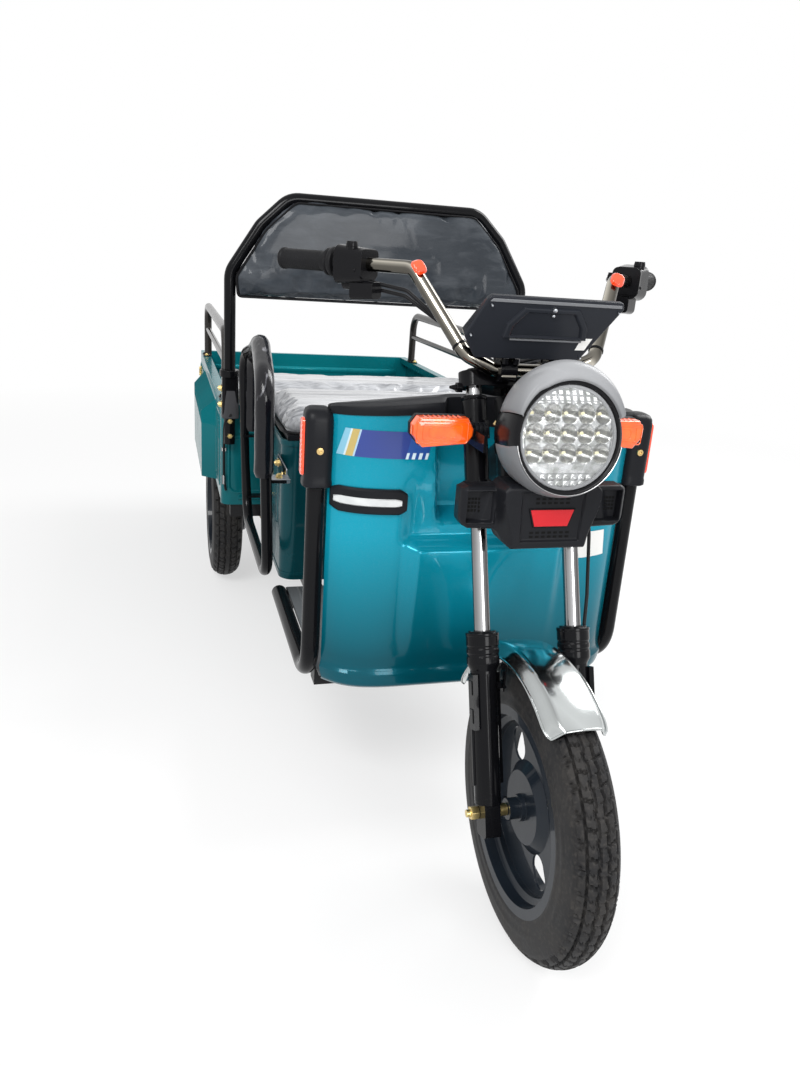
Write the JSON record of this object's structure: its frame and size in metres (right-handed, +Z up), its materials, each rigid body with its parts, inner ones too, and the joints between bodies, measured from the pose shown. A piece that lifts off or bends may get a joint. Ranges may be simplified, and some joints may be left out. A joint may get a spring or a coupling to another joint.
{
  "type": "electric cargo tricycle",
  "caption": "Three-wheeled electric cargo trike with a leg shield, bench seat with a backrest hoop and an open cargo box with a drop tailgate.",
  "frame": {"origin": "middle of the bounding box on the ground", "axes": "+Z up, -Y is the way it drives, +X is its left side"},
  "size_m": [0.9, 2.5999, 1.1904],
  "materials": {
    "teal_paint": "gloss metallic teal enamel",
    "black_paint": "gloss black enamel on steel tube",
    "black_plastic": "satin black moulded plastic",
    "gloss_black_plastic": "gloss black moulded plastic",
    "silver_plastic": "silver-grey painted plastic",
    "chrome": "bright chrome plate",
    "zinc_yellow": "yellow zinc plated steel",
    "grip_rubber": "ribbed black rubber",
    "tyre_rubber": "black tyre rubber",
    "rim_paint": "navy black enamel on pressed steel",
    "orange_lens": "translucent amber plastic",
    "white_lens": "milky white plastic",
    "red_lens": "translucent red plastic",
    "clear_lens": "clear moulded lens",
    "seat_vinyl": "grey vinyl under clear wrapping film",
    "back_vinyl": "charcoal vinyl under wrapping film",
    "guard_foam": "smooth black foam sleeve",
    "rail_paint": "dark brown-black enamel",
    "floor_paint": "grey enamel",
    "cast_metal": "cast aluminium",
    "battery_case": "dark plastic case"
  },
  "bodies": {
    "chassis": {"backrest_hoop": "black_paint", "backrest_pad": "back_vinyl", "battery_pack": "battery_case", "brake_pedal": "black_paint", "cargo_floor": "teal_paint", "cargo_front": "teal_paint", "cargo_rails": "rail_paint", "cargo_sides": "teal_paint", "floor_board": "floor_paint", "front_shield": "teal_paint", "guard_loops": "black_paint", "guard_pads": "guard_foam", "leaf_springs": "black_paint", "main_frame": "black_paint", "marker_lamps": "white_lens", "rear_axle": "cast_metal", "rear_cushion": "seat_vinyl", "rear_seat_base": "teal_paint", "seat_box": "teal_paint", "shield_trim": "black_plastic", "side_reflectors": "orange_lens", "side_tubes": "black_paint", "tail_lamps": "red_lens"},
    "steering": {"brake_lever": "black_paint", "control_cables": "black_plastic", "control_housings": "gloss_black_plastic", "fork_covers": "black_paint", "fork_lowers": "black_paint", "fork_stanchions": "chrome", "front_axle": "zinc_yellow", "front_fender": "chrome", "front_panel": "black_plastic", "grips": "grip_rubber", "handlebar": "chrome", "headlight_lens": "clear_lens", "headlight_shell": "silver_plastic", "instrument_box": "gloss_black_plastic", "steering_stem": "black_paint", "turn_signals": "orange_lens"},
    "front_wheel": {"front_tyre": "tyre_rubber", "front_rim": "rim_paint"},
    "rear_wheel_left": {"rear_tyre_left": "tyre_rubber", "rear_rim_left": "rim_paint"},
    "rear_wheel_right": {"rear_tyre_right": "tyre_rubber", "rear_rim_right": "rim_paint"},
    "seat": {"seat_pan": "black_plastic", "driver_cushion": "seat_vinyl"},
    "gate": {"tailgate": "teal_paint"}
  },
  "joints": [
    {"name": "steering", "type": "hinge", "parent": "chassis", "child": "steering", "pos_m": [0, -0.83012, 0.768], "axis": [0, 0.3584, 0.9336], "range_deg": [-30, 30]},
    {"name": "front_wheel_spin", "type": "hinge", "parent": "steering", "child": "front_wheel", "pos_m": [0, -1.062, 0.238], "axis": [1, 0, 0], "continuous": true},
    {"name": "rear_left_spin", "type": "hinge", "parent": "chassis", "child": "rear_wheel_left", "pos_m": [0.369, 0.645, 0.235], "axis": [1, 0, 0], "continuous": true},
    {"name": "rear_right_spin", "type": "hinge", "parent": "chassis", "child": "rear_wheel_right", "pos_m": [-0.369, 0.645, 0.235], "axis": [1, 0, 0], "continuous": true},
    {"name": "seat_tilt", "type": "hinge", "parent": "chassis", "child": "seat", "pos_m": [0, -0.271, 0.662], "axis": [1, 0, 0], "range_deg": [0, 80]},
    {"name": "tailgate_drop", "type": "hinge", "parent": "chassis", "child": "gate", "pos_m": [0, 1.292, 0.389], "axis": [-1, 0, 0], "range_deg": [0, 165]}
  ]
}
